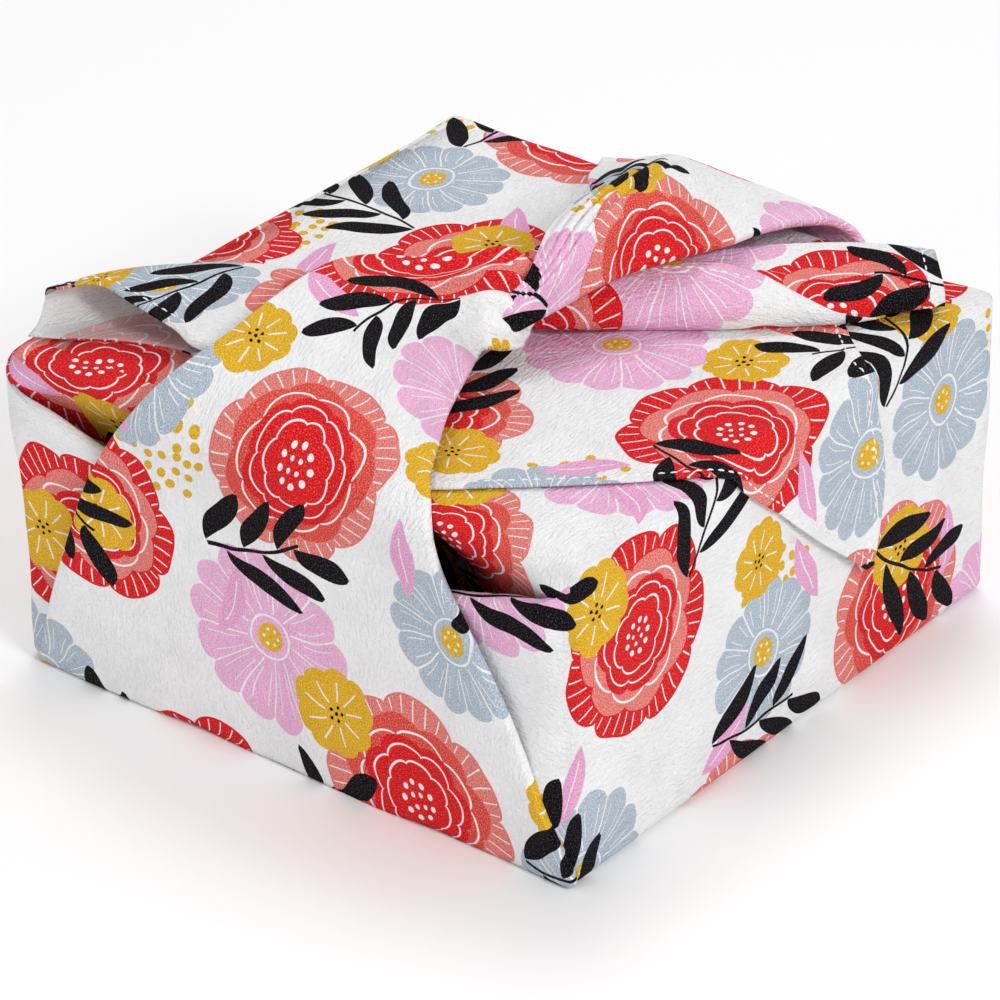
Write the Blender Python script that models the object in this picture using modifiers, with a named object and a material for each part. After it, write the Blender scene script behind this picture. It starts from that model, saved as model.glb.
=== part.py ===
"""A furoshiki wrap: one square cotton cloth folded into a low square parcel and tied.

The hemmed corners of the cloth are called front, back, left and right. The front corner
goes up the +X face and under the back corner, which comes over the top and hangs its tip
down the +X face. The left and right corners rise on the -Y and +Y faces as straps with
turned-under sides, and are tied over the middle of the top. The wrap is hollow, and its
pouches open at the top corners of the two tied faces.

Lengths are in millimetres in the tables and in metres in the meshes. +Z is up, and the
origin is the centre of the underside.
"""

import math

import bmesh
import bpy
import numpy as np
from mathutils import Vector

MM = 0.001

HALF = 104.0          # half the side of the parcel
TOP = 103.0           # height of the cloth on its top
SHEET = 2.0           # thickness of the cloth
EDGE = 5.0            # radius of a crisp edge
FOOT_EDGE = 3.5       # radius along the underside
CORNER_EDGE = 3.0     # radius where three crisp edges meet
SOFT_EDGE = 11.0      # radius of the slack upright edge, at +X and -Y
LEAST_RADIUS = 1.5    # radius that an inner edge keeps
LOOSE_REACH = (60.0, 100.0)   # distances from the middle where the slack edge sets in
CRISP_REACH = (80.0, 100.0)   # the same for the tight corners
FOOT_REACH = (6.0, 45.0)      # heights between which the foot's radius gives way
FLARE = 5.0           # how far the top corner at -X and -Y stands out
FLARE_REACH = (20.0, HALF)    # distances from the middle where it sets in
FLARE_RISE = (5.0, 95.0)      # heights between which it grows

MOUTH_LEVEL = 89.0    # height of the pouch mouths
MOUTH_REACH = 10.0    # how far above and below it the cloth sinks in
MOUTH_DIP = 5.0       # how far it sinks in
MOUTH_SPAN = (48.0, 62.0, 97.0, 104.0)  # distances from the middle where it starts and ends
POCKET_LEVEL = 28.0   # height of the fullest cloth beside a strap's foot
POCKET_REACH = 27.0   # how far above and below it the cloth is full
POCKET_PLACE = 95.0   # its distance from the middle of the face
POCKET_SPREAD = 24.0  # how far to either side of that the cloth is full
POCKET_BULGE = 3.0    # how full it is
SKIN = (HALF - 16, HALF - 8)  # depths between which a tied face starts

LAYER_SINK = 0.3      # how far a lying layer is let into the one under it
LEVEL_GAP = 0.75      # air behind a strap that isn't let into the wall
WALL_FOLD_GAP = 1.5   # gap in the folds of a strap on the wall
HEM_IN = 3.0          # distance of a row of points from the hem's edge
SINKING = 6.0         # width over which a hem goes under the top
TIP_CLEARANCE = 2.5   # gap between the hanging tip and the +X face

FLAT_ANGLE = 0.4      # faces this near to level with each other become one, in degrees
FRONT_STEPS = 12      # spans across the front of a strap
FOLD_STEPS = 4        # spans round a fold
CUT_OUT = 8.0         # how far a cutter stands out of a wall
CUT_IN = 14.0         # how far it reaches in

for old in list(bpy.data.objects):
    bpy.data.objects.remove(old, do_unlink=True)


def new_collection(name):
    """Make a collection and put it in the scene."""
    made = bpy.data.collections.new(name)
    bpy.context.scene.collection.children.link(made)
    return made


PARTS = new_collection("furoshiki_wrap")
CUTTERS = new_collection("shaping_pieces")


def cotton():
    """White printed cotton, matt and a little warm."""
    made = bpy.data.materials.new("cotton")
    made.use_nodes = True
    shader = made.node_tree.nodes["Principled BSDF"]
    shader.inputs["Base Color"].default_value = (0.92, 0.85, 0.83, 1.0)
    shader.inputs["Roughness"].default_value = 0.85
    shader.inputs["Metallic"].default_value = 0.0
    return made


def keep(name, bm, collection):
    """Turn a bmesh in millimetres into an object in metres."""
    bmesh.ops.scale(bm, vec=(MM, MM, MM), verts=bm.verts)
    bmesh.ops.recalc_face_normals(bm, faces=bm.faces)
    mesh = bpy.data.meshes.new(name)
    bm.to_mesh(mesh)
    bm.free()
    made = bpy.data.objects.new(name, mesh)
    collection.objects.link(made)
    if collection is CUTTERS:
        made.hide_render = True
        made.display_type = "WIRE"
    return made


def ease(value, low, high):
    """Go smoothly from 0 at low to 1 at high."""
    t = min(max((value - low) / (high - low), 0.0), 1.0)
    return t * t * (3.0 - 2.0 * t)


def bump(value, middle, reach):
    """Rise smoothly to 1 at the middle and fall to 0 at its reach."""
    return 1.0 - ease(abs(value - middle), 0.0, reach)


def smooth(rows, steps):
    """Run a Catmull-Rom curve through rows of numbers, with steps spans between two rows."""
    rows = np.asarray(rows, float)
    padded = np.concatenate([[2 * rows[0] - rows[1]], rows, [2 * rows[-1] - rows[-2]]])
    out = []
    for k in range(len(rows) - 1):
        p0, p1, p2, p3 = padded[k:k + 4]
        for t in np.arange(steps) / steps:
            curve = (p2 - p0) * t + (2 * p0 - 5 * p1 + 4 * p2 - p3) * t**2
            curve = curve + (3 * p1 - p0 - 3 * p2 + p3) * t**3
            out.append(p1 + 0.5 * curve)
    out.append(rows[-1])
    return np.array(out)


# The body of the parcel

OUTER_CUTS = {
    "across": (30, 62, 80, 93, 99, 102),
    "up": (1.2, 3.5, 12, 25, 40, 60, 73, 81, 85, 89, 93, 97, 101.5),
}
INNER_CUTS = {
    "across": (62, 80, 93, 99),
    "up": (6, 25, 60, 81, 89, 96),
}


def edge_radius(x, y, z):
    """Radius of the nearest edge: tight at the foot, slack up the one loose corner."""
    loose = ease(min(x, -y), *LOOSE_REACH)
    crisp = ease(min(abs(x), abs(y)), *CRISP_REACH) * (1 - loose)
    upper = EDGE + (SOFT_EDGE - EDGE) * loose + (CORNER_EDGE - EDGE) * crisp
    return FOOT_EDGE + (upper - FOOT_EDGE) * ease(z, *FOOT_REACH)


def rounded(point, inset):
    """Draw a point of the sharp-edged parcel in onto its soft edges."""
    x, y, z = point
    radius = max(edge_radius(x, y, z) - inset, LEAST_RADIUS)
    half = Vector((HALF - inset, HALF - inset, TOP / 2 - inset))
    centre = Vector((0, 0, TOP / 2))
    local = point - centre
    core = Vector(
        min(max(c, -(h - radius)), h - radius) for c, h in zip(local, half)
    )
    out = local - core
    if out.length > 1e-6:
        local = core + out * (radius / out.length)
    return local + centre


def slack(point):
    """Move a point of a tied face by the dips of its mouths and the fullness below."""
    x, y, z = point
    on_face = ease(abs(y), *SKIN)
    side = math.copysign(1.0, y)
    beside = ease(abs(x), *MOUTH_SPAN[:2]) * (1 - ease(abs(x), *MOUTH_SPAN[2:]))
    dip = MOUTH_DIP * bump(z, MOUTH_LEVEL, MOUTH_REACH) * beside
    full = 0.0
    if x * y < 0:
        near_edge = bump(abs(x), POCKET_PLACE, POCKET_SPREAD)
        full = POCKET_BULGE * near_edge * bump(z, POCKET_LEVEL, POCKET_REACH)
    flare = FLARE * ease(-x, *FLARE_REACH) * ease(-y, *FLARE_REACH) * ease(z, *FLARE_RISE)
    return Vector((x - flare, y + side * on_face * (full - dip), z))


def soft_parcel(name, cuts, inset):
    """The parcel's closed skin, drawn in by the inset all over."""
    bm = bmesh.new()
    bmesh.ops.create_cube(bm, size=2.0)
    half = HALF - inset
    low, high = inset, TOP - inset
    bmesh.ops.scale(bm, vec=(half, half, (high - low) / 2), verts=bm.verts)
    bmesh.ops.translate(bm, vec=(0, 0, TOP / 2), verts=bm.verts)
    sideways = sorted([0.0] + [s * c for c in cuts["across"] for s in (-1, 1)])
    planes = [(axis, c) for axis in (0, 1) for c in sideways if abs(c) < half]
    planes += [(2, c) for c in cuts["up"] if low < c < high]
    for axis, place in planes:
        at = [0.0, 0.0, 0.0]
        way = [0.0, 0.0, 0.0]
        at[axis] = place
        way[axis] = 1.0
        everything = bm.verts[:] + bm.edges[:] + bm.faces[:]
        bmesh.ops.bisect_plane(bm, geom=everything, dist=1e-4, plane_co=at, plane_no=way)
    for vert in bm.verts:
        vert.co = slack(rounded(vert.co, inset))
    bmesh.ops.dissolve_limit(
        bm, angle_limit=math.radians(FLAT_ANGLE), verts=bm.verts, edges=bm.edges
    )
    bmesh.ops.triangulate(bm, faces=bm.faces)
    return keep(name, bm, CUTTERS if inset else PARTS)


MOUTH_OUTLINE = (
    # across, height
    (60, 80.5),
    (70, 82),
    (85, 86.5),
    (96, 91),
    (96, 93.5),
    (84, 95.5),
    (60, 96),
)
BEHIND_STRAP = (
    (-88, 9),
    (90, 9),
    (16, 92),
    (-14, 92),
)


def wall_cutter(name, outline, mirror_x, side):
    """A prism through the wall of one tied face."""
    bm = bmesh.new()
    outer = side * (HALF + CUT_OUT)
    inner = side * (HALF - CUT_IN)
    ring = [bm.verts.new((mirror_x * x, outer, z)) for x, z in outline]
    face = bm.faces.new(ring)
    grown = bmesh.ops.extrude_face_region(bm, geom=[face])["geom"]
    moved = [item for item in grown if isinstance(item, bmesh.types.BMVert)]
    bmesh.ops.translate(bm, vec=(0, inner - outer, 0), verts=moved)
    return keep(name, bm, CUTTERS)


# Straps with turned-under sides

STRAP_ON_WALL = (
    # left edge x, right edge x, height, sink into the wall, turned under, crown
    (-101.0, 103.5, 1.0, 4.6, 6, 0.0),
    (-98.0, 105.0, 6.0, 2.8, 7, -0.8),
    (-91.0, 96.0, 26.0, 0.8, 12, -1.8),
    (-82.0, 85.0, 50.0, 0.5, 22, -2.2),
    (-74.0, 73.0, 70.0, 0.5, 30, -2.0),
    (-65.0, 63.0, 86.0, 0.3, 36, -1.5),
)
LEFT_STRAP_ON_TOP = (
    # left edge x, y, z, right edge x, y, z, turned under, crown, gap in the fold
    (-57, -107.5, 97, 59, -106.5, 96, 38, 0.0, 1.5),
    (-51, -107.0, 104, 57, -105.5, 102.5, 38, 1.0, 1.5),
    (-46, -102.0, 111, 53, -101.0, 107.5, 36, 1.5, 1.5),
    (-42, -94.0, 116, 47, -94.0, 109, 34, 1.5, 1.5),
    (-40, -80.0, 119, 40, -82.0, 110, 30, 1.5, 1.8),
    (-41, -62.0, 121, 33, -70.0, 111, 27, 2.0, 2.0),
    (-42, -44.0, 122, 28, -59.0, 112, 25, 2.0, 2.2),
    (-41, -30.0, 122, 24.5, -50.0, 113, 23, 2.0, 2.5),
    (-34, -20.0, 122, 22.5, -44.5, 114, 20, 2.0, 2.8),
    (-21, -14.5, 123, 21.5, -41.0, 115, 17, 2.5, 3.2),
    (-8, -8.5, 126, 21.0, -38.5, 116, 14, 3.0, 3.6),
    (3, -4.0, 130, 20.5, -35.0, 115.0, 12, 3.0, 3.0),
    (11, -4.0, 128, 21.5, -30.0, 113.0, 11, 2.0, 2.5),
    (17, -4.0, 123, 22.0, -23.0, 111.0, 9, 1.0, 2.0),
)
RIGHT_STRAP_ON_TOP = (
    (57, 107.5, 97, -53, 106.5, 96, 38, 0.0, 1.5),
    (51, 107.0, 104, -47, 105.5, 100, 38, 2.0, 1.5),
    (47, 101.0, 109, -42, 100.0, 104, 36, 5.0, 1.5),
    (45, 89.0, 113, -36, 91.0, 107, 34, 8.0, 1.5),
    (45, 76.0, 117, -31, 80.0, 110, 28, 11.0, 1.8),
    (45, 63.0, 120, -22, 69.0, 113, 24, 13.5, 2.0),
    (45, 50.0, 122, -14, 59.0, 118, 22, 14.0, 2.2),
    (43, 37.0, 124, -7, 48.0, 123, 19, 13.0, 2.2),
    (40, 24.0, 125, -2, 36.0, 127, 16, 11.0, 2.2),
    (35, 12.0, 124.5, 3, 23.0, 130, 13, 9.0, 2.2),
    (31, 1.0, 122.5, 8, 9.0, 132, 11, 7.0, 2.0),
    (28, -9.0, 120.5, 13, -2.0, 131.5, 9, 4.5, 1.5),
    (25, -19.0, 118.5, 16, -12.5, 127, 7, 2.0, 1.0),
    (20.5, -27.5, 115.5, 13.5, -21.5, 122, 5, 1.0, 1.0),
    (13, -33.0, 111.0, 8.0, -27.0, 117.5, 5, 0.5, 1.0),
)
MOST_TURNED = 0.42    # widest turned-under side, as a share of the strap's width
PLEATS = 3            # gathers on the far side of the knot
PLEAT_SHARE = 0.035   # their height as a share of the width there
PLEAT_START = (0.4, 0.7)      # shares of the width where they set in
PLEAT_WIDTHS = (14.0, 20.0)   # widths between which they fade out


def strap_row(left, right, out, turned, crown, gap, gathered):
    """Points across a strap, half way through its cloth: its sides turn under the front."""
    across = right - left
    width = across.length
    across.normalize()
    round_out = (2 * SHEET + gap) / 2
    bend = (SHEET + gap) / 2
    turned = min(turned, MOST_TURNED * width)

    def at(along, up):
        return tuple(left + across * along + out * up)

    def fold(centre, first, sweep):
        angles = [first + sweep * k / FOLD_STEPS for k in range(FOLD_STEPS + 1)]
        return [at(centre + bend * math.cos(a), bend * math.sin(a)) for a in angles]

    quarter = math.pi / 2
    depth = gathered * width * ease(width, *PLEAT_WIDTHS)
    points = [at(turned, -bend)]
    points += fold(round_out, -quarter, -math.pi)
    for k in range(1, FRONT_STEPS):
        s = k / FRONT_STEPS
        rise = crown * math.sin(math.pi * s)
        rise += depth * math.sin(2 * math.pi * PLEATS * s) * ease(s, *PLEAT_START)
        points.append(at(round_out + (width - 2 * round_out) * s, bend + rise))
    points += fold(width - round_out, quarter, -math.pi)
    points.append(at(width - turned, -bend))
    return points


def strap(name, side, on_top, gathers_from):
    """A strap up one tied face and over the top; side is -1 on -Y and 1 on +Y."""
    rows = []
    for left_x, right_x, z, sink, turned, crown in STRAP_ON_WALL:
        depth = HALF + SHEET + LEVEL_GAP - sink
        left = Vector((-side * left_x, side * depth, z))
        right = Vector((-side * right_x, side * depth, z))
        rows.append((left, right, turned, crown, WALL_FOLD_GAP))
    for row in on_top:
        rows.append((Vector(row[0:3]), Vector(row[3:6]), *row[6:9]))
    middles = [(row[0] + row[1]) / 2 for row in rows]
    points = []
    for k, (left, right, turned, crown, gap) in enumerate(rows):
        out = Vector((0, side, 0))
        if k >= len(STRAP_ON_WALL):
            travel = middles[min(k + 1, len(rows) - 1)] - middles[k - 1]
            out = (right - left).cross(travel).normalized()
        gathered = PLEAT_SHARE if gathers_from and k >= gathers_from else 0.0
        points.append(strap_row(left, right, out, turned, crown, gap, gathered))
    return sheet(name, points, 1, 1)


# Lying and hanging sheets

def sheet(name, rows, along_steps, across_steps):
    """A sheet of the cloth's thickness through rows of points."""
    rows = np.array([smooth(row, across_steps) for row in rows])
    grid = smooth(rows, along_steps)
    bm = bmesh.new()
    verts = [[bm.verts.new(p) for p in row] for row in grid]
    for one, two in zip(verts, verts[1:]):
        for a, b, c, d in zip(one, one[1:], two[1:], two):
            bm.faces.new((a, b, c, d))
    made = keep(name, bm, CUTTERS)
    thick = made.modifiers.new("thickness", "SOLIDIFY")
    thick.thickness = SHEET * MM
    thick.offset = 0.0
    made.modifiers.new("flat_faces", "TRIANGULATE")
    return made


LYING = TOP + SHEET / 2 - LAYER_SINK    # middle of a layer that lies on the top
HANGING = HALF + SHEET / 2 - LAYER_SINK
SUNK = TOP - 0.8 * SHEET                # middle of a layer that has gone under the top

BACK_CORNER_ON_TOP = (
    # x, left hem y, left level, right hem y, right level
    (-98, -97, SUNK, 97, SUNK),
    (-50, -97, SUNK, 97, SUNK),
    (10, -97, SUNK, 97, SUNK),
    (30, -97, SUNK, 97, SUNK),
    (44, -94, LYING, 93, LYING),
    (60, -81, LYING, 79, LYING),
    (74, -69, LYING, 65, LYING),
    (88, -56, LYING, 51, LYING),
    (HALF - EDGE, -45, LYING, 42, LYING),
)
EDGE_TURNS = (30, 60, 85)     # angles of the rows round the +X edge, in degrees
BACK_CORNER_HANGING = (
    # height, left hem y, right hem y, share of the tip's clearance
    (94, -27, 39.5, 0.0),
    (86, -18, 41, 0.15),
    (78, -8.5, 42.5, 0.3),
    (69, 1, 43, 0.5),
    (59, 12, 41.5, 0.7),
    (49, 24, 39, 0.9),
    (41, 33, 36.5, 1.0),
)


def back_corner():
    """The back corner over the top, round the +X edge and down to its tip."""
    rows = []
    for x, left_y, left_z, right_y, right_z in BACK_CORNER_ON_TOP:
        inner = SINKING if left_z < LYING else 0.0
        rows.append([
            (x, left_y, left_z),
            (x, left_y + HEM_IN + inner, max(left_z, LYING)),
            (x, (left_y + right_y) / 2, LYING),
            (x, right_y - HEM_IN - inner, max(right_z, LYING)),
            (x, right_y, right_z),
        ])
    last = BACK_CORNER_ON_TOP[-1]
    first = BACK_CORNER_HANGING[0]
    bend = HANGING - (HALF - EDGE)
    for turn in EDGE_TURNS:
        angle = math.radians(turn)
        x = HALF - EDGE + bend * math.sin(angle)
        z = LYING - bend * (1 - math.cos(angle))
        share = turn / (max(EDGE_TURNS) + min(EDGE_TURNS))
        left_y = last[1] + (first[1] - last[1]) * share
        right_y = last[3] + (first[2] - last[3]) * share
        rows.append(hanging_row(x, z, left_y, right_y))
    for z, left_y, right_y, share in BACK_CORNER_HANGING:
        rows.append(hanging_row(HANGING + TIP_CLEARANCE * share, z, left_y, right_y))
    return sheet("back_corner", rows, 1, 1)


def hanging_row(x, z, left_y, right_y):
    """Five points across the hanging corner at one height."""
    return [(x, left_y + (right_y - left_y) * s, z) for s in (0, 0.1, 0.5, 0.9, 1)]


LEFT_TAIL = (
    # lower lip, lower middle, back fold, upper middle, upper hem
    ((-6, -54, 107), (-8, -36, 106.5), (-12, -15, 110), (-8, -34, 113), (-6, -52, 112)),
    ((-45, -76, 105.5), (-45, -50, 105.5), (-46, -18, 109.5), (-46, -45, 114), (-46, -78, 111.5)),
    ((-62, -74, 105), (-63, -52, 105.5), (-66, -27, 111.5), (-66, -46, 117.5), (-63, -78, 114.5)),
    ((-80, -80, 105), (-80, -62, 105.5), (-82, -42, 112), (-83, -56, 119), (-78, -79, 118.5)),
    ((-94, -88, 105), (-95, -76, 105.5), (-97, -63, 112), (-94, -69, 119.5), (-90, -80, 121)),
    ((-105, -95, 105.5), (-106, -90, 107), (-106.5, -86, 112), (-104, -87, 118), (-98, -88, 120.5)),
)

TAIL_ROOT = Vector((20.0, 0.0, 0.0))
RIGHT_TAIL = (
    # along, then toward the front and height of: under, front foot, front roll, crest,
    # valley, back crest, back foot
    (0, (-16, 108), (-1, 108), (1, 113), (-4, 119), (-9, 119.5), (-16, 119), (-20, 112)),
    (25, (-18, 106), (-2, 105.5), (0, 112), (-12, 119.5), (-14, 117.5), (-17, 119), (-22, 110)),
    (45, (-20, 106), (0.5, 105.5), (2, 112), (-11, 119), (-16, 116), (-23, 117.5), (-28, 109)),
    (65, (-20, 106), (1.4, 105.5), (3, 111), (-8, 116), (-16, 114), (-28, 116), (-32, 108)),
    (85, (-20, 106), (1.4, 105.5), (3, 108.5), (-2, 112), (-12, 113.5), (-27, 116), (-31, 108)),
    (100, (-18, 106), (0, 106.5), (2, 108.5), (0, 112), (-8, 115), (-22, 117), (-27, 109)),
    (114, (-16, 107.5), (1, 108), (3, 110), (2, 112.5), (-4, 115.5), (-15, 117.5), (-19, 111)),
)


def left_tail():
    """The left corner's free end: an open roll under the strap, out to the top corner."""
    return sheet("left_tail", LEFT_TAIL, 2, 2)


def right_tail():
    """The right corner's free end, rolled lengthwise and laid toward the +X +Y corner."""
    along = Vector((1, 1, 0)).normalized()
    front = Vector((1, -1, 0)).normalized()
    rows = []
    for row in RIGHT_TAIL:
        base = TAIL_ROOT + along * row[0]
        rows.append([tuple(base + front * f + Vector((0, 0, z))) for f, z in row[1:]])
    return sheet("right_tail", rows, 2, 2)


def combine(target, other, operation):
    """Join or cut the target by another closed piece."""
    step = target.modifiers.new(other.name, "BOOLEAN")
    step.operation = operation
    step.object = other
    step.solver = "EXACT"


def build_wrap():
    """Model the whole cloth as one body."""
    cloth = soft_parcel("furoshiki_cloth", OUTER_CUTS, 0.0)
    cloth.data.materials.append(cotton())
    combine(cloth, soft_parcel("hollow", INNER_CUTS, SHEET), "DIFFERENCE")
    for side in (-1, 1):
        label = "near" if side < 0 else "far"
        combine(cloth, wall_cutter(label + "_behind", BEHIND_STRAP, -side, side), "DIFFERENCE")
        for hand in (-1, 1):
            name = f"{label}_mouth_{'left' if hand < 0 else 'right'}"
            combine(cloth, wall_cutter(name, MOUTH_OUTLINE, hand, side), "DIFFERENCE")
    combine(cloth, back_corner(), "UNION")
    combine(cloth, strap("left_strap", -1, LEFT_STRAP_ON_TOP, 0), "UNION")
    combine(cloth, left_tail(), "UNION")
    combine(cloth, right_tail(), "UNION")
    combine(cloth, strap("right_strap", 1, RIGHT_STRAP_ON_TOP, 13), "UNION")
    return cloth


build_wrap()
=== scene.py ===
"""Looks of the furoshiki wrap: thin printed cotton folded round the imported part.

The cloth is one mesh of patches: grids of points with their places on the flat cloth, which
carry the print across the folds. Tables are in millimetres in the part's frame: the straps
rise on the -Y and +Y faces, the front corner goes up the +X face, and the back corner comes
over the top and down it.
"""

import math

import bpy
import numpy as np
from mathutils import Matrix, Vector, noise


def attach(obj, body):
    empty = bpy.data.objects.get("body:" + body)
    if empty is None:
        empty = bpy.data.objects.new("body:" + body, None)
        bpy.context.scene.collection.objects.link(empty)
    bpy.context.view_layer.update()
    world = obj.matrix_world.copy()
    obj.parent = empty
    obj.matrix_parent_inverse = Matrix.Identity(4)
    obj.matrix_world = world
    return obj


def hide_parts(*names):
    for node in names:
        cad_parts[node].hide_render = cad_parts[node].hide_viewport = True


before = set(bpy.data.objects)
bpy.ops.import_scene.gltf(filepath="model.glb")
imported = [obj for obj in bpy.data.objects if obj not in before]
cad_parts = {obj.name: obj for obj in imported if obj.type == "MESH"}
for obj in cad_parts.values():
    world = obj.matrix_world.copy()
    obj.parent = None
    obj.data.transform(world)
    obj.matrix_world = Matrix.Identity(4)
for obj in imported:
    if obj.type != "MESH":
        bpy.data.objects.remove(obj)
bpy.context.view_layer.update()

MM = 0.001
scene = bpy.context.scene

# Sizes of the part

HALF = 104.0  # half the side of the parcel
TOP = 103.0  # height of the cloth on its top
EDGE = 5.0  # radius of a crisp edge
FOOT_EDGE = 3.5  # radius along the underside
CORNER_EDGE = 3.0  # radius where three crisp edges meet
SOFT_EDGE = 11.0  # radius of the slack upright edge, at +X and -Y
EAR_EDGE = 9.0  # radius at the ear, the top corner at -X and -Y
FLARE = 8.0  # how far it stands out
POCKET_LEVEL = 28.0  # height of the fullest cloth beside a strap's foot
POCKET_REACH = 27.0  # how far above and below that it is full
POCKET_PLACE = 95.0  # its distance from the middle of the tied face
POCKET_SPREAD = 24.0  # how far to both sides of that
POCKET_BULGE = 3.0  # how full it is
SLACK = 0.35  # height of the cloth's unevenness
FACE_SLACK = 0.9  # how much more of it there is beside the straps
SLACK_WAVE = 34.0  # its wavelength

# Where a form starts and where it is whole: a span is a distance from the middle, and a
# rise is a height

LOOSE_SPAN = (60, 100)
CRISP_SPAN = (80, 100)
FACE_SPAN = (HALF - 16, HALF - 8)
FOOT_RISE = (6, 45)
EAR_SPAN = (70, 98)
EAR_RISE = (72, 96)
FLARE_SPAN = (20, HALF)
FLARE_RISE = (62, 100)
SLACK_SPAN = (40, 60)
SLACK_RISE = (4, 20)
FLOOR_RISE = (1, 8)

CLOTH = 0.7  # thickness that is shown
HEM = 5.0  # width of the turned hem
HEM_RISE = 0.35  # how far it stands above the single cloth
STITCH_IN = 4.2  # distance of its stitching from the edge


def ease(value, low, high):
    """Go smoothly from 0 at low to 1 at high."""
    t = min(max((value - low) / (high - low), 0.0), 1.0)
    return t * t * (3.0 - 2.0 * t)


def bump(value, middle, reach):
    """Rise smoothly to 1 at the middle and fall to 0 at its reach."""
    return 1.0 - ease(abs(value - middle), 0.0, reach)


def curve(rows, steps):
    """Run a Catmull-Rom curve through rows of numbers, with steps spans between two rows."""
    rows = np.asarray(rows, float)
    padded = np.concatenate([[2 * rows[0] - rows[1]], rows, [2 * rows[-1] - rows[-2]]])
    out = []
    for k in range(len(rows) - 1):
        p0, p1, p2, p3 = padded[k:k + 4]
        for t in np.arange(steps) / steps:
            bend = (p2 - p0) * t + (2 * p0 - 5 * p1 + 4 * p2 - p3) * t**2
            bend = bend + (3 * p1 - p0 - 3 * p2 + p3) * t**3
            out.append(p1 + 0.5 * bend)
    out.append(rows[-1])
    return np.array(out)


def ripple(place, size, seed):
    """Soft noise between -1 and 1, with the given wavelength."""
    return noise.noise(Vector(place) / size + Vector((seed, -seed, 0.5 * seed)))


def add_object(name, data):
    """Put a mesh, a camera or a light in the scene."""
    made = bpy.data.objects.new(name, data)
    scene.collection.objects.link(made)
    return made


def add_mesh(name, points, faces, materials):
    """Put a smooth mesh in the scene, from points in metres."""
    mesh = bpy.data.meshes.new(name)
    mesh.from_pydata(points, [], faces)
    for material in materials:
        mesh.materials.append(material)
    mesh.shade_smooth()
    return add_object(name, mesh)


class Cloth:
    """The mesh in the making: points, faces and each face corner's place on the flat cloth."""

    def __init__(self):
        self.points = []
        self.faces = []
        self.flat = []
        self.shared = {}

    def add_point(self, point):
        self.points.append(tuple(point))
        return len(self.points) - 1

    def share_point(self, key, point):
        """A point that the faces round it share, known by its key."""
        if key not in self.shared:
            self.shared[key] = self.add_point(point)
        return self.shared[key]

    def add_face(self, corners, places, flip=False):
        if flip:
            corners, places = corners[::-1], places[::-1]
        self.faces.append(corners)
        self.flat.extend(places)

    def add_grid(self, grid, flat, flip=False):
        """A patch from rows of points, with the printed side along the rows' cross product."""
        ids = [[self.add_point(p) for p in row] for row in grid]
        for i in range(len(ids) - 1):
            for j in range(len(ids[0]) - 1):
                square = [(i, j), (i, j + 1), (i + 1, j + 1), (i + 1, j)]
                places = [tuple(flat[a][b]) for a, b in square]
                self.add_face([ids[a][b] for a, b in square], places, flip)

    def finish(self, name, material, reverse):
        """Make the object, in metres, with its thickness and materials."""
        scaled = [(x * MM, y * MM, z * MM) for x, y, z in self.points]
        made = add_mesh(name, scaled, self.faces, [material, reverse])
        layer = made.data.uv_layers.new(name="flat_cloth")
        layer.data.foreach_set("uv", [c * MM for place in self.flat for c in place])
        thick = made.modifiers.new("thickness", "SOLIDIFY")
        thick.thickness = CLOTH * MM
        thick.offset = 0.0
        thick.material_offset = 1
        return made


STITCH = 2.5  # length of a stitch
STITCH_PITCH = 3.5  # distance between the starts of two stitches
THREAD = 0.32  # half the width of the thread
THREAD_END = 0.45  # share of that at a stitch's ends
THREAD_SUNK = 0.22  # how deep in the cloth its middle is there
THREAD_RISE = 0.3  # how much higher it is at the stitch's middle
THREAD_SIDES = 5
STITCH_RINGS = 5  # rings of points along a stitch


def seam_line(grid, sign):
    """Points along the hem at the start of each row, with the way out of the cloth."""
    line, sides = [], []
    for row in grid:
        left = STITCH_IN
        for start, end in zip(row, row[1:]):
            span = Vector(end) - Vector(start)
            if span.length >= left:
                break
            left -= span.length
        line.append(Vector(start) + span * (left / span.length))
        sides.append(span.normalized())
    last = len(line) - 1
    outs = []
    for k, side in enumerate(sides):
        ahead = line[min(k + 1, last)] - line[max(k - 1, 0)]
        outs.append(ahead.cross(side).normalized() * sign)
    return line, outs


def turned(grid):
    """The same points with rows and columns exchanged."""
    return [list(row) for row in zip(*grid)]


def ends_first(grid):
    """The same points with each row taken from its other end."""
    return [list(row)[::-1] for row in grid]


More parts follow.
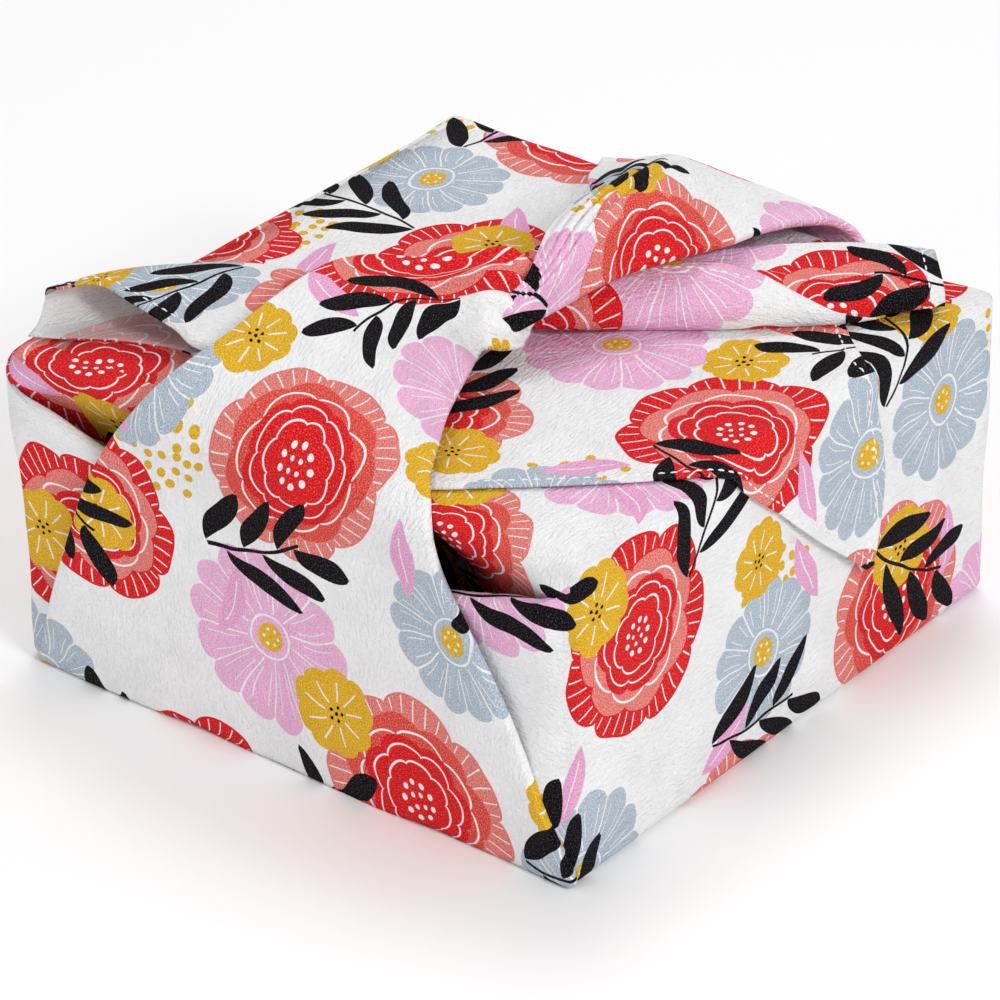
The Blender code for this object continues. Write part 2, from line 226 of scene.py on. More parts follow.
class Seams:
    """The white running stitches, as one mesh in the making."""

    def __init__(self):
        self.points = []
        self.faces = []

    def sew(self, grid, sign):
        """Lay stitches along the hem at the start of each row."""
        line, outs = seam_line(grid, sign)
        places = np.array([tuple(p) for p in line])
        ways = np.array([tuple(o) for o in outs])
        steps = np.linalg.norm(np.diff(places, axis=0), axis=1)
        run = np.concatenate([[0.0], steps.cumsum()])

        def at(table, distance):
            return Vector([np.interp(distance, run, table[:, k]) for k in range(3)])

        start = 0.5 * (STITCH_PITCH - STITCH)
        while start + STITCH < run[-1]:
            ring_at = [start + STITCH * t for t in np.linspace(0, 1, STITCH_RINGS)]
            self.add_stitch([(at(places, d), at(ways, d)) for d in ring_at])
            start += STITCH_PITCH

    def add_stitch(self, rings):
        """One stitch: a thread that comes up out of the cloth and goes down again."""
        first = len(self.points)
        along = (rings[-1][0] - rings[0][0]).normalized()
        for k, (place, out) in enumerate(rings):
            rise = math.sin(math.pi * k / (len(rings) - 1))
            out = (out - along * out.dot(along)).normalized()
            side = along.cross(out)
            radius = THREAD * (THREAD_END + (1 - THREAD_END) * rise)
            centre = place + out * (CLOTH / 2 - THREAD_SUNK + THREAD_RISE * rise)
            for turn in range(THREAD_SIDES):
                angle = 2 * math.pi * turn / THREAD_SIDES
                self.points.append(centre + (side * math.cos(angle) + out * math.sin(angle)) * radius)
        for k in range(len(rings) - 1):
            for turn in range(THREAD_SIDES):
                after = (turn + 1) % THREAD_SIDES
                low, high = first + k * THREAD_SIDES, first + (k + 1) * THREAD_SIDES
                self.faces.append((low + turn, low + after, high + after, high + turn))
        last = first + (len(rings) - 1) * THREAD_SIDES
        self.faces.append(tuple(first + t for t in reversed(range(THREAD_SIDES))))
        self.faces.append(tuple(last + t for t in range(THREAD_SIDES)))

    def finish(self, name, material):
        scaled = [tuple(p * MM) for p in self.points]
        return add_mesh(name, scaled, self.faces, [material])


# The parcel's walls, top and underside

# Height of a pouch's lip and how far the top's cloth goes in there, by the distance from the
# middle of a tied face

LIP_AT = (0, 50, 58, 68, 78, 86, 95, HALF)
LIP_HEIGHT = (78, 78.3, 79.2, 81.5, 84.6, 87.6, 91.4, 95.5)
TUCK_AT = (0, 48, 56, 66, 76, 86, 94, 99)
TUCK_DEPTH = (34, 30, 19, 15, 12, 8, 3, 0)

MOUTH_END = 98.0  # distance out where the mouths end
LIP_ROLL = 1.9  # radius of the rolled lip
LIP_FULL = 1.6  # how far the cloth stands out under the lip
LIP_FULL_BELOW = 3.0  # how far below the lip it is fullest
LIP_FULL_REACH = 14.0
LIP_START = (40, 55)  # distances out over which that grows
LIP_END = (92, 102)  # and goes again
LIP_THIN_FROM = 80.0  # distance out where the roll starts to thin
LIP_THINNED = 0.8  # share of its radius that is lost at the mouth's end
INSIDE_DROP = 45.0  # how far the folded cloth goes down inside a pouch
LIP_LEAN = 0.12  # how far the rolled cloth goes in for its drop
GUSSET_LEAN = 0.5  # the same for the top's cloth behind it
ROLL_STEPS = 6  # steps round the lip
DROP_STEPS = 3  # steps down inside
LIP_CLOTH = 1.5  # flat cloth in a step over the lip and down
GUSSET_CLOTH = 8.0  # flat cloth in a step down behind it
CREST = 100.0  # height where the top's cloth starts to go in
TUCK_EASE = (-0.3, 1.6)  # how it goes in, in shares of the way down to the lip
FORWARD_FROM = 28  # x from which the top is the front corner's cloth
ACROSS = (
    [-HALF, -102.5, -100.5, -98, -95, -92, -88, -84] + list(range(-80, 81, 4))
    + [84, 88, 92, 95, 98, 100.5, 102.5, HALF]
)
LIP_ROW = 21  # index in UP of the row that follows the lip
UP = (
    0, 1.2, 3, 5.5, 9, 13, 17.5, 22, 27, 32, 37, 42, 47, 52, 57, 62, 67, 72, 78, 84, 90,
    95.5,
    97, 98.5, 100, 101.2, 102.2, TOP,
)


def lip_height(x):
    """Height of the pouch's lip, at a distance from the middle of a tied face."""
    return float(np.interp(abs(x), LIP_AT, LIP_HEIGHT))


def edge_radius(x, y, z):
    """Radius of the nearest edge: tight at the foot, slack at the loose corners."""
    loose = ease(min(x, -y), *LOOSE_SPAN)
    crisp = ease(min(abs(x), abs(y)), *CRISP_SPAN) * (1 - loose)
    ear = ease(min(-x, -y), *EAR_SPAN) * ease(z, *EAR_RISE)
    upper = EDGE + (SOFT_EDGE - EDGE) * loose + (CORNER_EDGE - EDGE) * crisp
    upper += (EAR_EDGE - upper) * ear
    return FOOT_EDGE + (upper - FOOT_EDGE) * ease(z, *FOOT_RISE)


def rounded(x, y, z):
    """Draw a point of the sharp-edged parcel in onto its soft edges."""
    radius = edge_radius(x, y, z)
    half = (HALF, HALF, TOP / 2)
    local = (x, y, z - TOP / 2)
    core = Vector(min(max(c, radius - h), h - radius) for c, h in zip(local, half))
    out = Vector(local) - core
    if out.length > 1e-6:
        out = out * (radius / out.length)
    return core + out + Vector((0, 0, TOP / 2))


def soft_point(x, y, z):
    """A point of the parcel's skin, with its fullness, flare and small unevenness."""
    point = rounded(x, y, z)
    on_face = ease(abs(point.y), *FACE_SPAN)
    side = math.copysign(1.0, y)
    full = 0.0
    if x * y < 0:
        near_edge = bump(abs(x), POCKET_PLACE, POCKET_SPREAD)
        full = POCKET_BULGE * near_edge * bump(z, POCKET_LEVEL, POCKET_REACH)
    beside = ease(abs(x), *LIP_START) * (1 - ease(abs(x), *LIP_END))
    full += LIP_FULL * bump(z, lip_height(x) - LIP_FULL_BELOW, LIP_FULL_REACH) * beside
    point.y += side * on_face * full
    point.x -= FLARE * ease(-x, *FLARE_SPAN) * ease(-y, *FLARE_SPAN) * ease(z, *FLARE_RISE)
    slack = SLACK + FACE_SLACK * on_face * ease(abs(x), *SLACK_SPAN) * ease(z, *SLACK_RISE)
    away = (point - Vector((0, 0, TOP / 2))) / HALF
    lift = slack * ripple(point, SLACK_WAVE, seed=3.0) * ease(z, *FLOOR_RISE)
    return point + away * lift


def wall_place(x, y, z):
    """Place on the flat cloth of a wall: it runs on from the +X or -X face round the edge."""
    side = 1 if x > 0 else -1
    sideways = y if abs(x) >= HALF else math.copysign(2 * HALF - abs(x), y)
    return (side * (HALF + z), sideways)


def top_place(x, y, over, forward):
    """Place on the flat cloth of the top: front corner's cloth forward, else back corner's."""
    sideways = y + math.copysign(over, y)
    if forward:
        return (2 * HALF + TOP - x, sideways)
    return (-(HALF + TOP + HALF + x), sideways)


def add_parcel(cloth):
    """Walls, top and underside, open at the four pouch mouths."""

    def skin(x, y, z):
        return cloth.share_point((x, y, z), soft_point(x, y, z))

    for x0, x1 in zip(ACROSS, ACROSS[1:]):
        for y0, y1 in zip(ACROSS, ACROSS[1:]):
            square = [(x0, y0), (x1, y0), (x1, y1), (x0, y1)]
            forward = x0 > FORWARD_FROM
            places = [top_place(x, y, 0.0, forward) for x, y in square]
            cloth.add_face([skin(x, y, TOP) for x, y in square], places)
            cloth.add_face([skin(x, y, 0) for x, y in square], square, flip=True)
    for x in (-HALF, HALF):
        for y0, y1 in zip(ACROSS, ACROSS[1:]):
            for z0, z1 in zip(UP, UP[1:]):
                square = [(x, y0, z0), (x, y1, z0), (x, y1, z1), (x, y0, z1)]
                places = [wall_place(*p) for p in square]
                cloth.add_face([skin(*p) for p in square], places, flip=x < 0)
    for side in (-1, 1):
        add_tied_face(cloth, side)


def bent_height(x, z):
    """Height on a tied face of a row that is level at the corners."""
    drop = UP[LIP_ROW] - lip_height(x)
    if z <= UP[LIP_ROW]:
        return z - drop * ease(z, 0, UP[LIP_ROW])
    return TOP - (TOP - z) * (TOP - lip_height(x)) / (TOP - UP[LIP_ROW])


def add_tied_face(cloth, side):
    """One tied face: the wall up to the lips, and the top's cloth going in above them."""
    y = side * HALF
    inward = Vector((0, -side, 0))

    def below(x, z):
        level = z if abs(x) == HALF else bent_height(x, z)
        return cloth.share_point((x, y, z), soft_point(x, y, level))

    def above(x, z):
        if z == TOP or abs(x) > MOUTH_END:
            return below(x, z)
        level = bent_height(x, z)
        point = soft_point(x, y, level)
        if level <= CREST:
            share = (CREST - level) / (CREST - lip_height(x))
            deep = ease(share, *TUCK_EASE) / ease(1, *TUCK_EASE)
            point += inward * float(np.interp(abs(x), TUCK_AT, TUCK_DEPTH)) * deep
        return cloth.share_point((x, y, z, "above"), point)

    for pair in zip(ACROSS, ACROSS[1:]):
        x0, x1 = pair
        forward = x0 > FORWARD_FROM
        for k, (z0, z1) in enumerate(zip(UP, UP[1:])):
            square = [(x0, z0), (x1, z0), (x1, z1), (x0, z1)]
            levels = [(x, bent_height(x, z)) for x, z in square]
            if k < LIP_ROW:
                corners = [below(x, z) for x, z in square]
                places = [wall_place(x, y, level) for x, level in levels]
            else:
                corners = [above(x, z) for x, z in square]
                places = [top_place(x, y, TOP - level, forward) for x, level in levels]
            cloth.add_face(corners, places, flip=side > 0)
        if max(abs(x0), abs(x1)) <= MOUTH_END:
            add_lip(cloth, side, pair, below)
            add_gusset(cloth, side, pair, above)


def add_strip(cloth, pair, steps, edge_at, way_at, place_at, flip):
    """Cloth that goes on from an edge of a tied face, between two of its columns."""

    def corner_at(x, step):
        edge = edge_at(x, UP[LIP_ROW])
        if step == 0:
            return edge
        point = Vector(cloth.points[edge]) + way_at(x, step)
        return cloth.share_point(("from an edge", edge, step), point)

    x0, x1 = pair
    for step in range(steps):
        square = [(x0, step), (x1, step), (x1, step + 1), (x0, step + 1)]
        places = [place_at(*p) for p in square]
        cloth.add_face([corner_at(*p) for p in square], places, flip)


def add_lip(cloth, side, pair, below):
    """The wall's cloth rolled over at the lip and down inside the pouch."""

    def way_at(x, step):
        radius = LIP_ROLL * (1 - LIP_THINNED * ease(abs(x), LIP_THIN_FROM, MOUTH_END))
        angle = math.pi * min(step, ROLL_STEPS) / ROLL_STEPS
        inward = radius * (1 - math.cos(angle))
        up = radius * math.sin(angle)
        fall = INSIDE_DROP * max(step - ROLL_STEPS, 0) / DROP_STEPS
        return Vector((0, -side * (inward + LIP_LEAN * fall), up - fall))

    def place_at(x, step):
        return wall_place(x, side * HALF, lip_height(x) + LIP_CLOTH * step)

    add_strip(cloth, pair, ROLL_STEPS + DROP_STEPS, below, way_at, place_at, side > 0)


def add_gusset(cloth, side, pair, above):
    """The top's cloth going on down behind the lip."""

    def way_at(x, step):
        fall = INSIDE_DROP * step / DROP_STEPS
        return Vector((0, -side * GUSSET_LEAN * fall, -fall))

    def place_at(x, step):
        over = TOP - lip_height(x) + GUSSET_CLOTH * step
        return top_place(x, side * HALF, over, pair[0] > FORWARD_FROM)

    add_strip(cloth, pair, DROP_STEPS, above, way_at, place_at, side < 0)


# Straps with turned-under sides

STRAP_ON_WALL = (
    # left edge x, right edge x, height, sink into the wall, turned under, crown
    (-101, 103.5, 1, 4.6, 6, 0),
    (-98, 105, 6, 2.8, 7, -0.8),
    (-91, 96, 26, 0.8, 12, -1.8),
    (-82, 85, 50, 0.5, 22, -2.2),
    (-74, 73, 70, 0.5, 30, -2),
    (-65, 63, 86, 0.3, 36, -1.5),
)
LEFT_STRAP_ON_TOP = (
    # left edge x, y, z, right edge x, y, z, turned under, crown
    (-57, -107.5, 97, 59, -106.5, 96, 38, 0),
    (-51, -107, 104, 57, -105.5, 102.5, 38, 1),
    (-46, -102, 111, 53, -101, 107.5, 36, 1.5),
    (-42, -94, 116, 47, -94, 109, 34, 1.5),
    (-40, -80, 119, 40, -82, 110, 30, 1.5),
    (-41, -62, 121, 33, -70, 111, 27, 2),
    (-42, -44, 122, 28, -59, 112, 25, 2),
    (-41, -30, 122, 24.5, -50, 113, 23, 2),
    (-34, -20, 122, 22.5, -44.5, 114, 20, 2),
    (-21, -14.5, 123, 21.5, -41, 115, 17, 2.5),
    (-8, -8.5, 126, 21, -38.5, 116, 14, 3),
    (3, -4, 130, 20.5, -35, 115, 12, 3),
    (11, -4, 128, 21.5, -30, 113, 11, 2),
    (17, -4, 123, 22, -23, 111, 9, 1),
)
RIGHT_STRAP_ON_TOP = (
    (57, 107.5, 97, -53, 106.5, 96, 38, 0),
    (51, 107, 104, -47, 105.5, 100, 38, 2),
    (47, 101, 109, -42, 100, 104, 36, 5),
    (45, 89, 113, -36, 91, 107, 34, 8),
    (45, 76, 117, -31, 80, 110, 28, 11),
    (45, 63, 120, -22, 69, 113, 24, 13.5),
    (45, 50, 122, -14, 59, 118, 22, 14),
    (43, 37, 124, -7, 48, 123, 19, 13),
    (40, 24, 125, -2, 36, 127, 16, 11),
    (35, 12, 124.5, 3, 23, 130, 13, 9),
    (31, 1, 122.5, 8, 9, 132, 11, 7),
    (28, -9, 120.5, 13, -2, 131.5, 9, 4.5),
    (25, -19, 118.5, 16, -12.5, 127, 7, 2),
    (20.5, -27.5, 115.5, 13.5, -21.5, 122, 5, 1),
    (13, -33, 111, 8, -27, 117.5, 5, 0.5),
)
LINE_TO_FACE = 2.75  # a strap's face above the line between its edges in the tables
FACE_OUT = 2.4  # the same to the middle of the thin cloth
FOLD_ROUND = 1.25  # radius of its side folds
TURNED_MOST = 0.46  # the largest share of its width that a side takes up under it
FACE_STEPS = 64  # spans across its face
FOLD_STEPS = 6  # spans round a side fold
UNDER_STEPS = 8  # spans across a turned-under side
STRAP_STEPS = 5  # spans between two rows of its tables
FOLD_HEIGHT = 0.5  # height of a strap's broad folds
FOLD_WAVE = 24  # wavelength of its uneven folds, across it
FOLD_CHANGES = 11  # how often they change along it
FULL_WIDTH = 40  # the folds of a strap narrower than this are lower
PULLED_FOLDS = 3.5  # folds across the left strap near the knot
PULLED_HEIGHT = 1.3
PLEATS = 6.0  # pleats across the right strap near the knot
PLEAT_HEIGHT = 3.2
PLEAT_MEAN = 0.64  # mean of the pleats' wave, which is taken off it


def strap_profile(left, right, out, turned, crown, waves, share):
    """Points across a strap and their distances from its middle along the cloth."""
    across = right - left
    width = across.length
    across.normalize()
    turned = min(turned, TURNED_MOST * width)
    centre = FOLD_ROUND + CLOTH / 2
    low = FACE_OUT - 2 * FOLD_ROUND
    middle = FACE_OUT - FOLD_ROUND
    side = []
    for k in range(UNDER_STEPS):
        side.append((turned + (centre - turned) * k / UNDER_STEPS, low))
    for k in range(FOLD_STEPS):
        angle = -math.pi / 2 - math.pi * k / FOLD_STEPS
        along = centre + FOLD_ROUND * math.cos(angle)
        side.append((along, middle + FOLD_ROUND * math.sin(angle)))
    face = []
    for k in range(FACE_STEPS + 1):
        s = k / FACE_STEPS
        arch = math.sin(math.pi * s)
        folds = waves(share, s, width) * arch ** 0.5 * min(width / FULL_WIDTH, 1.0)
        face.append((centre + (width - 2 * centre) * s, FACE_OUT + crown * arch + folds))
    points = side + face + [(width - a, b) for a, b in reversed(side)]
    flat = [0.0]
    for (a, b), (c, d) in zip(points, points[1:]):
        flat.append(flat[-1] + math.hypot(c - a, d - b))
    half = flat[-1] / 2
    placed = [left + across * a + out * b for a, b in points]
    return placed, [f - half for f in flat]


def add_strap(cloth, side, on_top, waves):
    """A strap up one tied face and over the top; side is -1 on -Y and 1 on +Y."""
    rows = []
    for left_x, right_x, z, sink, turned, crown in STRAP_ON_WALL:
        y = side * (HALF + LINE_TO_FACE - sink)
        rows.append((-side * left_x, y, z, -side * right_x, y, z, turned, crown))
    fine = curve(rows + list(on_top), STRAP_STEPS)
    middles = [(Vector(row[0:3]) + Vector(row[3:6])) / 2 for row in fine]
    grid, flat = [], []
    along = 0.0
    for k, row in enumerate(fine):
        before = middles[max(k - 1, 0)]
        after = middles[min(k + 1, len(fine) - 1)]
        left, right = Vector(row[0:3]), Vector(row[3:6])
        out = (right - left).cross(after - before).normalized()
        if k:
            along += (middles[k] - middles[k - 1]).length
        share = k / (len(fine) - 1)
        placed, sideways = strap_profile(left, right, out, row[6], row[7], waves, share)
        grid.append(placed)
        flat.append([(-side * f, side * (HALF + along)) for f in sideways])
    cloth.add_grid(grid, flat)


def soft_folds(share, s, width, count, drift, uneven, seed):
    """A strap's broad folds, so many across it, and its uneven ones."""
    height = FOLD_HEIGHT * math.sin(2 * math.pi * count * s + drift * share)
    place = Vector((s * width / FOLD_WAVE, FOLD_CHANGES * share, seed))
    return height + uneven * noise.noise(place)


def left_waves(share, s, width):
    """Long soft folds that gather toward the knot on the left strap."""
    height = soft_folds(share, s, width, count=2.0, drift=5, uneven=1.1, seed=2.0)
    gather = math.sin(2 * math.pi * PULLED_FOLDS * s + 1.0)
    return height + ease(share, 0.55, 0.95) * PULLED_HEIGHT * gather


def right_waves(share, s, width):
    """Pleats that fan out from the knot on the right strap."""
    height = soft_folds(share, s, width, count=1.7, drift=4, uneven=0.9, seed=5.0)
    pull = ease(share, 0.4, 0.75) * (1 - ease(share, 0.9, 1.0))
    pleat = abs(math.sin(math.pi * PLEATS * s)) - PLEAT_MEAN
    return height + pull * ease(s, 0.35, 0.6) * PLEAT_HEIGHT * pleat


# The back corner, which lies over the top and hangs down the +X face

LYING = TOP + 1.1  # middle of the thin cloth on the top
HANGING = HALF + 1.1
SUNK = TOP - 1.2  # the same where it is under the top
TIP_CLEARANCE = 2.5  # gap between the hanging tip and the +X face
BACK_CORNER_ON_TOP = (
    # x, left hem y, right hem y, level
    (-98, -97, 97, SUNK),
    (-50, -97, 97, SUNK),
    (10, -97, 97, SUNK),
    (30, -97, 97, SUNK),
    (44, -94, 93, LYING),
    (60, -81, 79, LYING),
    (74, -69, 65, LYING),
    (88, -56, 51, LYING),
    (HALF - EDGE, -45, 42, LYING),
)
FIRST_FREE_ROW = 3  # the first of these rows whose hems show
EDGE_TURNS = (20, 40, 60, 80)  # degrees round the +X edge
LAST_TURN = 100  # the turn that would reach the first hanging row
BACK_CORNER_HANGING = (
    # height, left hem y, right hem y, share of the tip's clearance
    (94, -27, 39.5, 0),
    (86, -18, 41, 0.15),
    (78, -8.5, 42.5, 0.3),
    (69, 1, 43, 0.5),
    (59, 12, 41.5, 0.7),
    (49, 24, 39, 0.9),
    (41, 33, 36.5, 1),
)
BACK_STEPS = 4  # spans between two rows of these tables
BACK_COLUMNS = 30  # points between its two hems
HEMS_ACROSS = 2.4  # a sheet narrower than so many hems has narrower hems
HEM_STEP = 0.5  # half the width of the step at a hem's inner side
RISEN_SPAN = (1, 9)  # distance from the hem where sunk cloth has come up
BACK_SLACK = 0.5  # height of its unevenness
BACK_WAVE = 26.0  # its wavelength
BACK_SPAN = (3, 15)  # distance from the hem over which it grows


def hem_shares(width):
    """Shares across a sheet, close together at the hems along both its sides."""
    near = [0.0, 0.4, 2.0, HEM - 0.7, HEM, HEM + 0.8]
    if width < HEMS_ACROSS * near[-1]:
        near = [d * width / (HEMS_ACROSS * near[-1]) for d in near]
    inner = np.linspace(near[-1] / width, 1 - near[-1] / width, BACK_COLUMNS)
    return [d / width for d in near[:-1]] + list(inner) + [1 - d / width for d in near[-2::-1]]


def add_back_corner(cloth, seams):
    """The back corner over the top, round the +X edge and down to its tip."""
    last = BACK_CORNER_ON_TOP[-1]
    first = BACK_CORNER_HANGING[0]
    bend = HANGING - (HALF - EDGE)
    spine = []
    for x, left_y, right_y, level in BACK_CORNER_ON_TOP:
        spine.append((x, LYING, left_y, right_y, level - LYING))
    for turn in EDGE_TURNS:
        angle = math.radians(turn)
        share = turn / LAST_TURN
        left_y = last[1] + (first[1] - last[1]) * share
        right_y = last[2] + (first[2] - last[2]) * share
        x = HALF - EDGE + bend * math.sin(angle)
        z = LYING - bend * (1 - math.cos(angle))
        spine.append((x, z, left_y, right_y, 0.0))
    for z, left_y, right_y, share in BACK_CORNER_HANGING:
        spine.append((HANGING + TIP_CLEARANCE * share, z, left_y, right_y, 0.0))
    fine = curve(spine, BACK_STEPS)
    grid, flat = [], []
    along = 0.0
    for k, (x, z, left_y, right_y, sunk) in enumerate(fine):
        before, after = fine[max(k - 1, 0)], fine[min(k + 1, len(fine) - 1)]
        out = Vector((before[1] - after[1], 0, after[0] - before[0])).normalized()
        if k:
            along += math.hypot(x - fine[k - 1][0], z - fine[k - 1][1])
        width = right_y - left_y
        points, places = [], []
        for s in hem_shares(width):
            y = left_y + width * s
            from_edge = min(s, 1 - s) * width
            lift = HEM_RISE * (1 - ease(from_edge, HEM - HEM_STEP, HEM + HEM_STEP))
            lift *= 1 + sunk / 3
            lift += min(sunk, 0.0) * (1 - ease(from_edge, *RISEN_SPAN))
            uneven = BACK_SLACK * ripple((x, y, z), BACK_WAVE, seed=7.0)
            lift += uneven * ease(from_edge, *BACK_SPAN)
            points.append(Vector((x, y, z)) + out * lift)
            places.append((-(2 * HALF + TOP + BACK_CORNER_ON_TOP[0][0] + along), y))
        grid.append(points)
        flat.append(places)
    cloth.add_grid(grid, flat, flip=True)
    free = grid[BACK_STEPS * FIRST_FREE_ROW:]
    seams.sew(free, 1)
    seams.sew(ends_first(free), -1)


FRONT_CORNER_TIP = (-70.0, 6.0)  # x of its end and half its width there
FRONT_CORNER_ROOT = (98.0, 97.0)  # the same at the +X edge
FRONT_POINTS = 17  # along it and across it
UNDER_TOP = 2.2  # how far it lies below the top's cloth


def add_front_corner(cloth):
    """The front corner's cloth, which goes on under the top to its tip."""
    (tip_x, tip_half), (root_x, root_half) = FRONT_CORNER_TIP, FRONT_CORNER_ROOT
    grid, flat = [], []
    for share in np.linspace(0, 1, FRONT_POINTS):
        x = root_x + (tip_x - root_x) * share
        half = root_half + (tip_half - root_half) * share
        across = np.linspace(-half, half, FRONT_POINTS)
        grid.append([(x, y, TOP - UNDER_TOP) for y in across])
        flat.append([(3 * HALF + TOP - x, y) for y in across])
    cloth.add_grid(grid, flat)


# Free ends beyond the knot

LEFT_TAIL = (
    # lower lip, lower middle, back fold, upper middle, upper hem
    ((-6, -54, 107), (-8, -36, 106.5), (-12, -15, 110), (-8, -34, 113), (-6, -52, 112)),
    ((-45, -76, 105.5), (-45, -50, 105.5), (-46, -18, 109.5), (-46, -45, 114), (-46, -78, 111.5)),
    ((-62, -74, 105), (-63, -52, 105.5), (-66, -27, 111.5), (-66, -46, 117.5), (-63, -78, 114.5)),
    ((-80, -80, 105), (-80, -62, 105.5), (-82, -42, 112), (-83, -56, 119), (-78, -79, 118.5)),
    ((-94, -88, 105), (-95, -76, 105.5), (-97, -63, 112), (-94, -69, 119.5), (-90, -80, 121)),
    ((-105, -95, 105.5), (-106, -90, 107), (-106.5, -86, 112), (-104, -87, 118), (-98, -88, 120.5)),
)
LEFT_TAIL_STEPS = 9  # spans between two of these rows
TAIL_STEPS = 8  # the same on the right tail, and across both
TAIL_ROOT = Vector((20.0, 0.0, 0.0))
RIGHT_TAIL = (
    # along, then toward the front and height of: under, front foot, front roll, crest,
    # valley, back crest, back foot
    (-16, (-9, 110), (-2, 109.5), (-1, 112), (-4, 115), (-7, 115.5), (-11, 115), (-13, 111)),
    (0, (-16, 108), (-1, 108), (1, 113), (-4, 119), (-9, 119.5), (-16, 119), (-20, 112)),
    (25, (-18, 106), (-2, 105.5), (0, 112), (-12, 119.5), (-14, 117.5), (-17, 119), (-22, 110)),
    (45, (-20, 106), (0.5, 105.5), (2, 112), (-11, 119), (-16, 116), (-23, 117.5), (-28, 109)),
    (65, (-20, 106), (1.4, 105.5), (3, 111), (-8, 116), (-16, 114), (-28, 116), (-32, 108)),
    (85, (-20, 106), (1.4, 105.5), (3, 108.5), (-2, 112), (-12, 113.5), (-27, 116), (-31, 108)),
    (100, (-18, 106), (0, 106.5), (2, 108.5), (0, 112), (-8, 115), (-22, 117), (-27, 109)),
    (114, (-16, 107.5), (1, 108), (3, 110), (2, 112.5), (-4, 115.5), (-15, 117.5), (-19, 111)),
)

# Where each of these starts on the flat cloth, and its way along it

LEFT_TAIL_PLACE = ((0, -400), (0.2, -0.98))
RIGHT_TAIL_PLACE = ((0, 400), (0.1, 0.99))
FLAP_PLACE = ((-60, 330), (0.1, 0.99))


def measured(grid, origin, way):
    """Places on the flat cloth of a grid, by the lengths along its rows and columns."""
    grid = np.array([[tuple(p) for p in row] for row in grid])
    across = np.linalg.norm(np.diff(grid, axis=1), axis=2).cumsum(axis=1)
    across = np.concatenate([np.zeros((len(grid), 1)), across], axis=1)
    across -= across[:, -1:] / 2
    middle = grid.shape[1] // 2
    along = np.linalg.norm(np.diff(grid[:, middle], axis=0), axis=1).cumsum()
    along = np.concatenate([[0.0], along])
    (ox, oy), (wx, wy) = origin, way
    return [
        [(ox + wx * a - wy * c, oy + wy * a + wx * c) for c in row]
        for a, row in zip(along, across)
    ]


def add_left_tail(cloth, seams):
    """The left corner's free end: an open roll under the strap, out to the top corner."""
    rows = [curve(row, TAIL_STEPS) for row in LEFT_TAIL]
    grid = curve(rows, LEFT_TAIL_STEPS)
    cloth.add_grid(grid, measured(grid, *LEFT_TAIL_PLACE), flip=True)
    seams.sew(ends_first(grid), -1)
    seams.sew(ends_first(turned(grid)), 1)


def add_right_tail(cloth, seams):
    """The right corner's free end, rolled lengthwise and laid toward the +X +Y corner."""
    along = Vector((1, 1, 0)).normalized()
    front = Vector((1, -1, 0)).normalized()
    rows = []
    for row in RIGHT_TAIL:
        base = TAIL_ROOT + along * row[0]
        places = [tuple(base + front * f + Vector((0, 0, z))) for f, z in row[1:]]
        rows.append(curve(places, TAIL_STEPS))
    grid = curve(rows, TAIL_STEPS)
    cloth.add_grid(grid, measured(grid, *RIGHT_TAIL_PLACE), flip=True)
    seams.sew(ends_first(turned(grid)), 1)
    add_front_flap(cloth, seams, grid)


FRONT_FLAP = (
    # along the right tail, column of its grid where the flap's hem lies
    (0, 27),
    (40, 26.5),
    (58, 24),
    (74, 18.5),
    (88, 12.5),
    (98, 8.5),
)
FLAP_FOOT = 5.0  # column where the flap starts under the roll
FLAP_RISE = 0.85  # distance of its middle from the middle of the cloth under it
FLAP_COLUMNS = 26


def add_front_flap(cloth, seams, tail):
    """The upper layer of the right tail's front roll, whose hem slants down to its end."""
    along_of = [row[0] for row in RIGHT_TAIL]
    flap_along, flap_column = zip(*FRONT_FLAP)
    grid = []
    for k in range(len(tail) - 1):
        along = float(np.interp(k / TAIL_STEPS, range(len(along_of)), along_of))
        if along > flap_along[-1]:
            break
        edge = float(np.interp(along, flap_along, flap_column))
        row = []
        for column in np.linspace(FLAP_FOOT, edge, FLAP_COLUMNS):
            j = min(int(column), len(tail[0]) - 2)
            here, beside = Vector(tail[k][j]), Vector(tail[k][j + 1])
            ahead = Vector(tail[k + 1][j])
            out = (ahead - here).cross(beside - here).normalized()
            row.append(here.lerp(beside, column - j) + out * FLAP_RISE)
        grid.append(row)
    cloth.add_grid(grid, measured(grid, *FLAP_PLACE), flip=True)
    seams.sew(ends_first(grid), -1)


# The print: blossoms, daisies, buttons, sprigs and dots on white, in millimetres of flat cloth

WHITE = (0.92, 0.92, 0.93)
RED = (0.75, 0.012, 0.014)
CORAL = (0.77, 0.075, 0.055)
SALMON = (0.82, 0.21, 0.18)
PINK = (0.86, 0.40, 0.66)
DAISY_PINK = (0.88, 0.47, 0.71)
MUSTARD = (0.80, 0.45, 0.02)
GREY_BLUE = (0.47, 0.55, 0.64)
BLACK = (0.005, 0.004, 0.005)

# The side of a motif's cells, their turn in degrees, their shift in cells, how far the motif
# strays in its cell, and the seed of its chances

DOT_CELLS = (118, 18, (0.35, 0.1), 30, 5)
DAISY_CELLS = (92, 24, (0.0, 0.0), 18, 1)
BLOSSOM_CELLS = (92, 24, (0.5, 0.5), 16, 2)
LEAF_CELLS = (78, 51, (0.2, 0.75), 34, 3)
BUTTON_CELLS = (84, -15, (0.72, 0.22), 26, 4)
SPRIG_CELLS = (88, 8, (0.15, 0.55), 18, 6)

SOFT = 0.12  # width of a printed border
SOFT_SHARE = 0.004  # the same as a share of a blossom's radius
DRIFT = 5.0  # how far the printing is drawn out of true, from side to side
DRIFT_SCALE = 0.045  # waves of that in a millimetre


